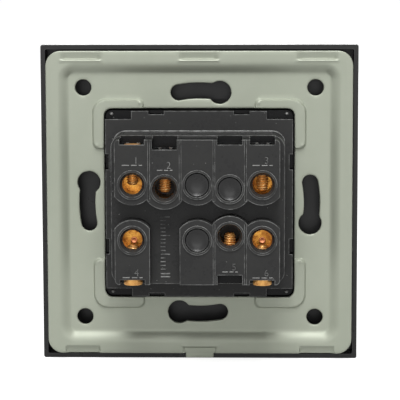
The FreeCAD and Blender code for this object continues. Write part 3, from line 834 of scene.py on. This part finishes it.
def sheetLoops(size, offset):
    # every cut edge of the sheet, moved into the metal by offset
    half = size["opening"] + offset
    corner = size["openingCorner"] + offset
    opening = roundedLoop(half, half, corner, arcSteps=10, longest=size["openingStep"])
    pitch, radius = size["holePitch"], size["holeRadius"] + offset
    holes = [circleLoop(sx * pitch, sz * pitch, radius) for sx in (-1, 1) for sz in (-1, 1)]
    keyholes = [keyholeLoop(low, high, size, offset) for low, high in keyAngles(size)]
    return [outerLoop(size, offset), opening] + holes + keyholes


def latticePoints(size):
    # a plain lattice, closer where the sheet curves
    points = []
    cell = size["grid"]
    near = cell / 2
    across = int(size["halfX"] / cell) + 1
    down = int((size["halfZ"] + size["tongueReach"]) / cell) + 1
    for i in range(-across, across + 1):
        for j in range(-down, down + 1):
            x, z = i * cell, j * cell
            if edgeDistance(x, z, size) < -cell:
                continue
            middle = 2 * sheetHeight(x, z, size)
            bend = max(abs(sheetHeight(x + dx, z + dz, size) + sheetHeight(x - dx, z - dz, size) - middle)
                       for dx, dz in ((near, 0), (0, near), (near, near), (near, -near)))
            parts = 4 if bend > size["sharpBend"] else 2 if bend > size["slightBend"] else 1
            for a in range(parts):
                for b in range(parts):
                    px = x + cell * ((a + 0.5) / parts - 0.5)
                    pz = z + cell * ((b + 0.5) / parts - 0.5)
                    if edgeDistance(px, pz, size) > size["edgeRound"] + size["clear"]:
                        points.append((px, pz))
    return points


def flatSheet(size):
    # the sheet before it is pressed: points and faces in the XZ plane, finer along every cut edge
    points, edges = [], []
    for share in size["edgeRings"]:
        for loop in sheetLoops(size, share * size["edgeRound"]):
            start = len(points)
            points += loop
            edges += [(start + i, start + (i + 1) % len(loop)) for i in range(len(loop))]
    points += latticePoints(size)
    closest = 1e-6   # points nearer than this would be one
    flat, _, faces, *_ = delaunay_2d_cdt([Vector(p) for p in points], edges, [], 0, closest)
    return flat, faces


def makeSteelFrame(size):
    flat, faces = flatSheet(size)
    rounding = size["edgeRound"]
    work = bmesh.new()
    upper, lower = [], []
    for x, z in flat:
        near = max(rounding - max(edgeDistance(x, z, size), 0.0), 0.0)
        drop = rounding - math.sqrt(max(rounding * rounding - near * near, 0.0))
        height = sheetHeight(x, z, size)
        upper.append(work.verts.new((x * mm, (height - drop) * mm, z * mm)))
        under = height - size["sheet"] + size["frontRound"] * drop
        lower.append(work.verts.new((x * mm, under * mm, z * mm)))
    for face in faces:
        middle = [sum(flat[i][axis] for i in face) / len(face) for axis in (0, 1)]
        if edgeDistance(*middle, size) > 0:
            work.faces.new([upper[i] for i in face])
            work.faces.new([lower[i] for i in reversed(face)])
    partner = dict(zip(upper, lower))
    rim = [edge for edge in work.edges if edge.is_boundary and edge.verts[0] in partner]
    for edge in rim:
        a, b = edge.verts
        work.faces.new([a, b, partner[b], partner[a]])
    bmesh.ops.delete(work, geom=[v for v in work.verts if not v.link_faces], context="VERTS")
    return makeObject("steelFrame", finished("steelFrame", work), smoothAngle=40)


def makeTab(size, sx, sz):
    # a folded tab with the window that a snap nose sits in
    inner = sx * size["opening"]
    outer = sx * (size["opening"] + size["sheet"])
    z = sz * size["tabOffset"]
    half = size["tabHalf"]
    name = "frameTab_%s_%s" % ("right" if sx > 0 else "left", "upper" if sz > 0 else "lower")
    top = -size["wellDepth"] - size["tabSink"]
    tab = makeBoxes(name, [(inner, outer, size["tabFront"], top, z - half, z + half)])
    half = size["windowHalf"]
    front, rear = size["windowMiddle"] - size["windowDepth"], size["windowMiddle"] + size["windowDepth"]
    cutAway(tab, makeBoxes("window", [(inner - 1, outer + 1, front, rear, z - half, z + half)]))
    softenEdges(tab, size["tabSoft"])
    applied(tab)
    shadeByAngle(tab.data, 40)
    return tab


def buildFrame():
    sheet = makeSteelFrame(steelFrame)
    addPiece(sheet, "housing", "frame_steel", "mounting_frame")
    for sx in (-1, 1):
        for sz in (-1, 1):
            addPiece(makeTab(steelFrame, sx, sz), "housing", "frame_steel")
    print("steel frame:", len(sheet.data.polygons), "faces")


buildFrame()


# the clamping screws, threaded; sizes in mm, turns in degrees
clampScrew = {
    "pitch": 0.66, "crest": 1.6, "root": 1.24, "tipFlat": 0.98, "tipLength": 0.62, "centre": 0.02,
    "threadEnd": 8.6, "runOut": 0.4, "shankEnd": 9.0, "headRadius": 2.45, "headEdge": 0.2,
    "slotHalf": 3, "slotWidth": 0.7, "slotDepth": 0.6, "around": 32, "perTurn": 8,
    "turns": {"right_way_1": 20, "right_common": 65, "right_way_2": 8,
              "left_way_1": -35, "left_common": 40, "left_way_2": -14},
}


def threadRadius(along, turn, size):
    # the screw's radius at a place along its thread and a turn round it
    phase = (along / size["pitch"] - turn / (2 * math.pi)) % 1.0
    crest = mix(size["root"], size["crest"], 0.5 + 0.5 * math.cos(2 * math.pi * phase))
    tip = size["tipFlat"] + (size["crest"] - size["tipFlat"]) * along / size["tipLength"]
    runOut = smooth((along - size["threadEnd"] + size["runOut"]) / size["runOut"])
    return min(mix(crest, size["crest"], runOut), tip)


def makeClampScrew(place, size):
    low, high = (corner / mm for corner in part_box("terminal_screw_" + place))
    side = 1 if low.z > 0 else -1
    tip = low.z if side > 0 else high.z
    length = high.z - low.z
    x, y = (low.x + high.x) / 2, (low.y + high.y) / 2
    around = size["around"]
    turns = [2 * math.pi * i / around for i in range(around)]
    rings = [[(size["centre"], 0.0)] * around]
    count = int(size["threadEnd"] / size["pitch"] * size["perTurn"])
    for step in range(count + 1):
        along = size["threadEnd"] * step / count
        rings.append([(threadRadius(along, turn, size), along) for turn in turns])
    head, soft, shank = size["headRadius"], size["headEdge"], size["shankEnd"]
    cut = 0.3 * soft   # a point on the rounded rim
    above = [(size["crest"], shank), (head - soft / 2, shank), (head, shank + soft / 2),
             (head, length - soft), (head - cut, length - cut), (head - soft, length),
             (size["centre"], length)]
    rings += [[point] * around for point in above]
    points = []
    spin = math.radians(size["turns"][place])
    for ring in rings:
        for turn, (radius, along) in zip(turns, ring):
            points.append((x + radius * math.cos(turn + spin), y + radius * math.sin(turn + spin),
                           tip + side * along))
    name = "clampScrew_" + place
    screw = makeObject(name, meshFrom(name, points, tubeFaces(len(rings), around)))
    end = tip + side * length
    reach, half, deep = size["slotHalf"], size["slotWidth"] / 2, size["slotDepth"]
    slot = makeBoxes("slot", [(-reach, reach, -half, half, -deep, deep)])
    slot.location = Vector((x, y, end)) * mm
    slot.rotation_euler.z = spin
    bpy.context.view_layer.update()
    cutAway(screw, slot)
    shadeByAngle(screw.data, 38)
    return screw


def buildScrews():
    for place in clampScrew["turns"]:
        screw = makeClampScrew(place, clampScrew)
        addPiece(screw, "screw_" + place, "screw_brass", "terminal_screw_" + place)
    print("clamping screws:", len(clampScrew["turns"]))


buildScrews()


def atDepth(y, line):
    return [(x, y, z) for x, z in line]


def lathed(name, profile, centre, around):
    # a closed body turned about a line along Y: profile is (radius, y) from its foot to its top
    points = atDepth(profile[0][1], [centre])
    for radius, y in profile[1:-1]:
        points += atDepth(y, circleLoop(*centre, radius, around))
    points += atDepth(profile[-1][1], [centre])
    top = len(points) - 1
    last = top - around
    pairs = [(i, (i + 1) % around) for i in range(around)]
    faces = [(0, 1 + i, 1 + j) for i, j in pairs]
    for near in range(1, last, around):
        faces += bandFaces(near, near + around, around)
    faces += [(last + i, last + j, top) for i, j in pairs]
    return makeObject(name, meshFrom(name, points, faces), smoothAngle=45)


# lips in the wire holes, between the plastic entries and the brass, painted darker than the housing as
# shade; sizes in mm
entryLip = {"inner": 2.6, "outer": 2.82, "rear": 17.9, "front": 17.46, "soft": 0.06, "around": 48}

# shallow dishes that close the blind entries, painted darker than the housing as shade in the hollow;
# sizes in mm
blindDish = {
    "radius": 2.96, "backRadius": 2.7, "back": 17.4, "middle": 18.3, "rim": 18.98, "soft": 0.06,
    "inset": 0.04, "curve": 3, "steps": 9, "around": 48,
    "places": {"upper_middle": (0.0, 7.3), "upper_left": (-8.5, 6.2), "lower_middle": (0.0, -7.3)},
}

# a thin skirt round the front housing, behind the aperture's edge, that keeps light out of the gap
lightSkirt = {
    "inner": 25.0, "outer": 27.6, "innerCorner": 1.4, "outerCorner": 4.0, "front": -7.55, "rear": -7.22,
}

# a fine moulded bead round the foot of the raised body
footBead = {"halfX": 22.98, "halfZ": 19.78, "corner": 3.28, "face": 1.5, "radius": 0.17, "around": 8}


def makeRing(name, loops):
    # a closed ring through several closed loops of the same length
    count = len(loops[0])
    points = [point for loop in loops for point in loop]
    faces = []
    for loop in range(len(loops)):
        faces += bandFaces(loop * count, (loop + 1) % len(loops) * count, count)
    return makeObject(name, meshFrom(name, points, faces), smoothAngle=40)


def buildEntryLips(size):
    inner, outer, soft = size["inner"], size["outer"], size["soft"]
    profile = [(inner, size["front"]), (inner, size["rear"] - soft), (inner + soft, size["rear"]),
               (outer, size["rear"]), (outer, size["front"])]
    for place, centre in wireHoles.items():
        loops = [atDepth(y, circleLoop(*centre, radius, size["around"])) for radius, y in profile]
        addBlack(makeRing("entryLip_" + place, loops), "painted_shade_black")
    print("entry lips:", len(wireHoles))


def buildBlindDishes(size):
    profile = [(0.0, size["back"]), (size["backRadius"], size["back"]),
               (size["radius"], size["rim"] - size["soft"])]
    for step in range(size["steps"], 0, -1):
        out = step / size["steps"]
        height = mix(size["middle"], size["rim"], out ** size["curve"])
        profile.append(((size["radius"] - size["inset"]) * out, height))
    profile.append((0.0, size["middle"]))
    for place, centre in size["places"].items():
        dish = lathed("blindDish_" + place, profile, centre, size["around"])
        addBlack(dish, "painted_shade_dish_black")
    print("blind dishes:", len(size["places"]))


def buildLightSkirt(size):
    loops = []
    for edge, y in (("inner", "rear"), ("inner", "front"), ("outer", "front"), ("outer", "rear")):
        line = roundedLoop(size[edge], size[edge], size[edge + "Corner"], arcSteps=8)
        loops.append(atDepth(size[y], line))
    # the skirt takes the black that is painted darker as shade
    addBlack(makeRing("lightSkirt", loops), "painted_shade_black")
    print("light skirt: 1")


def buildFootBead(size):
    loops = []
    for step in range(size["around"]):
        turn = 2 * math.pi * step / size["around"]
        out, rise = size["radius"] * math.cos(turn), size["radius"] * math.sin(turn)
        line = roundedLoop(size["halfX"] + out, size["halfZ"] + out, size["corner"] + out, arcSteps=10)
        loops.append(atDepth(size["face"] + rise, line))
    addBlack(makeRing("footBead", loops))
    print("foot bead: 1")


# copper rivets that hold the way blocks to their contact strips, seen at the bottom of the wire holes;
# sizes in mm, outward is how far beyond its hole's middle a rivet is, and the rim's points are each so far
# inside the radius and so far below the top
blockRivet = {
    "radius": 0.9, "height": 0.24, "floor": 11.0, "sink": 0.05, "outward": 1.05, "around": 28,
    "rim": [(0.0, 0.12), (0.04, 0.04), (0.14, 0.0), (0.3, 0.02)], "dish": 0.08, "dishShare": 0.4,
}

# small pips in the corner steps of the base, painted pale as a highlight
cornerPip = {
    "radius": 0.5, "height": 0.9, "floor": -1.3, "sink": 0.05, "x": 23.6, "z": 24.2, "around": 16, "steps": 5,
}


def buildRivets(size):
    radius, foot, top = size["radius"], size["floor"] - size["sink"], size["floor"] + size["height"]
    profile = [(0.0, foot), (radius, foot)]
    profile += [(radius - inside, top - below) for inside, below in size["rim"]]
    profile += [(radius * size["dishShare"], top - size["dish"]), (0.0, top - size["dish"])]
    for _, gang in gangs:
        for edge, way in ((1, "_way_1"), (-1, "_way_2")):
            x, z = wireHoles[gang + way]
            centre = (x, z + edge * size["outward"])
            rivet = lathed("blockRivet_" + gang + way, profile, centre, size["around"])
            addPiece(rivet, "housing", "bar_copper")
    print("block rivets: 4")


def buildPips(size):
    foot = size["floor"] - size["sink"]
    profile = [(0.0, foot), (size["radius"], foot)]
    for step in range(size["steps"]):
        turn = math.pi / 2 * step / size["steps"]
        profile.append((size["radius"] * math.cos(turn), size["floor"] + size["height"] * math.sin(turn)))
    profile.append((0.0, size["floor"] + size["height"]))
    for side, gang in gangs:
        for edge, end in ((1, "upper"), (-1, "lower")):
            centre = (side * size["x"], edge * size["z"])
            pip = lathed("cornerPip_%s_%s" % (gang, end), profile, centre, size["around"])
            addBlack(pip, "worn_highlit_black")
    print("corner pips: 4")


buildEntryLips(entryLip)
buildBlindDishes(blindDish)
buildLightSkirt(lightSkirt)
buildFootBead(footBead)
buildRivets(blockRivet)
buildPips(cornerPip)


# the coiled springs behind the plungers; sizes in mm from the rocker's axle, tilt in degrees
plungerSpring = {
    "turns": 4, "coil": 1.2, "wire": 0.15, "start": -2.4, "end": 0.8, "boreEnd": -2.6, "back": 1.0,
    "travel": 1.0, "gang": 12.55, "pivot": -7.0, "tilt": 5.0, "around": 8, "perTurn": 28,
}


def makePlungerSpring(name, pivot, along, upright, size):
    points = []
    across = Vector((1, 0, 0))
    around = size["around"]
    count = size["turns"] * size["perTurn"]
    for step in range(count + 1):
        turn = 2 * math.pi * step / size["perTurn"]
        out = across * math.cos(turn) + upright * math.sin(turn)
        middle = pivot + along * mix(size["start"], size["end"], step / count) + out * size["coil"]
        for i in range(around):
            angle = 2 * math.pi * i / around
            points.append(middle + (out * math.cos(angle) + along * math.sin(angle)) * size["wire"])
    return makeObject(name, meshFrom(name, points, tubeFaces(count + 1, around)), smoothAngle=60)


def buildPlungerSprings(size):
    tilt = math.radians(size["tilt"])
    along = Vector((0, math.cos(tilt), -math.sin(tilt)))
    upright = Vector((0, math.sin(tilt), math.cos(tilt)))
    for side, gang in gangs:
        pivot = Vector((side * size["gang"], size["pivot"], 0))
        spring = makePlungerSpring("plungerSpring_" + gang, pivot, along, upright, size)
        addPiece(spring, "rocker_" + gang, "spring_steel", "plunger_spring_" + gang)
        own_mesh(spring)
    print("plunger springs: 2")


buildPlungerSprings(plungerSpring)


# plain numerals by the terminals, each over a broken dash, on the columns' rear faces; sizes in mm
numerals = {
    "face": 19.0, "raised": 0.12, "sunk": 0.03, "soft": 0.04, "height": 1.8, "stroke": 0.03, "above": 0.42,
    "dashThick": 0.26, "shift": -1.1, "digitShare": 0.7,   # a digit's height as a share of the font's size
    "wayDash": [(2.6, 0.7), (0.2, -1.3), (-1.8, -2.7)],
    "commonDash": [(2.0, 0.5), (0.1, -1.0), (-1.4, -2.1)],
    "places": {  # text, z of its dash
        "right_way_1": ("1", 12.43), "right_common": ("2", 11.13), "left_way_1": ("3", 12.43),
        "right_way_2": ("4", -17.17), "left_common": ("5", -15.6), "left_way_2": ("6", -17.17),
    },
}

# a strip gauge on the lower face between the columns: short ticks, every fifth one long
stripGauge = {
    "face": 13.5, "raised": 0.12, "sunk": 0.03, "soft": 0.04, "x": 8.6, "first": -1.8, "count": 15,
    "step": 1.0, "short": 1.3, "long": 2.5, "longEvery": 5, "thick": 0.24,
    "bars": [-17.0, -17.8], "barThick": 0.32,
}


def makeNumeral(name, text, x, z, size):
    curve = bpy.data.curves.new(name, "FONT")
    curve.body = text
    curve.size = size["height"] / size["digitShare"]
    curve.align_x = "CENTER"
    curve.offset = -size["stroke"]
    curve.extrude = (size["raised"] + size["sunk"]) / 2
    curve.resolution_u = 4
    holder = bpy.data.objects.new(name, curve)
    scene.collection.objects.link(holder)
    mesh = evaluatedMesh(holder)
    bpy.data.objects.remove(holder)
    middle = size["face"] + (size["raised"] - size["sunk"]) / 2
    for vertex in mesh.vertices:
        across, up, out = vertex.co
        vertex.co = Vector((x - across, middle + out, z + up)) * mm
    work = bmesh.new()
    work.from_mesh(mesh)
    bmesh.ops.remove_doubles(work, verts=work.verts, dist=0.0001 * mm)
    bmesh.ops.recalc_face_normals(work, faces=work.faces)
    work.to_mesh(mesh)
    work.free()
    return makeObject(name, mesh, smoothAngle=40)


def makeBars(name, bars, size):
    # raised bars, each (x0, x1, z0, z1), with slightly softened edges
    front, rear = size["face"] - size["sunk"], size["face"] + size["raised"]
    piece = makeBoxes(name, [(x0, x1, front, rear, z0, z1) for x0, x1, z0, z1 in bars])
    softenEdges(piece, size["soft"], 1)
    applied(piece)
    shadeByAngle(piece.data, 30)
    return piece


def buildNumerals(size):
    half = size["dashThick"] / 2
    for place, (text, z) in size["places"].items():
        x = wireHoles[place][0]
        numeral = makeNumeral("numeral_" + text, text, x + size["shift"], z + size["above"], size)
        addBlack(numeral)
        dash = size["commonDash" if "common" in place else "wayDash"]
        bars = [(x + end, x + start, z - half, z + half) for start, end in dash]
        # the dashes are painted pale, partly wear and partly painted highlight
        addBlack(makeBars("dash_" + text, bars, size), "worn_highlit_black")
    print("numerals:", len(size["places"]))


def buildGauge(size):
    bars = []
    start = size["x"] + size["long"] / 2
    half = size["thick"] / 2
    for index in range(size["count"]):
        z = size["first"] - size["step"] * index
        length = size["short"] if index % size["longEvery"] else size["long"]
        bars.append((start - length, start, z - half, z + half))
    half = size["barThick"] / 2
    for z in size["bars"]:
        bars.append((size["x"] - size["long"] / 2, start, z - half, z + half))
    addBlack(makeBars("stripGauge", bars, size))
    print("strip gauge:", len(bars), "bars")


buildNumerals(numerals)
buildGauge(stripGauge)


# how much the edges of the frame's own solids are softened, in mm; the other solids stay sharp
softened = {
    "terminal_housing": 0.16, "front_housing": 0.14, "cover_plate": 0.18,
    "rocker_left": 0.14, "rocker_right": 0.14,
}
weldWithin = 0.001   # mm


def dressNodes():
    for part in frame["record"]["subparts"]:
        name = part["node"]
        node = nodes[name]
        setMaterial(node, part["material_slot"])
        if name in softened:
            weld = node.modifiers.new("joined corners", "WELD")
            weld.merge_threshold = weldWithin * mm
            softenEdges(node, softened[name])


dressNodes()
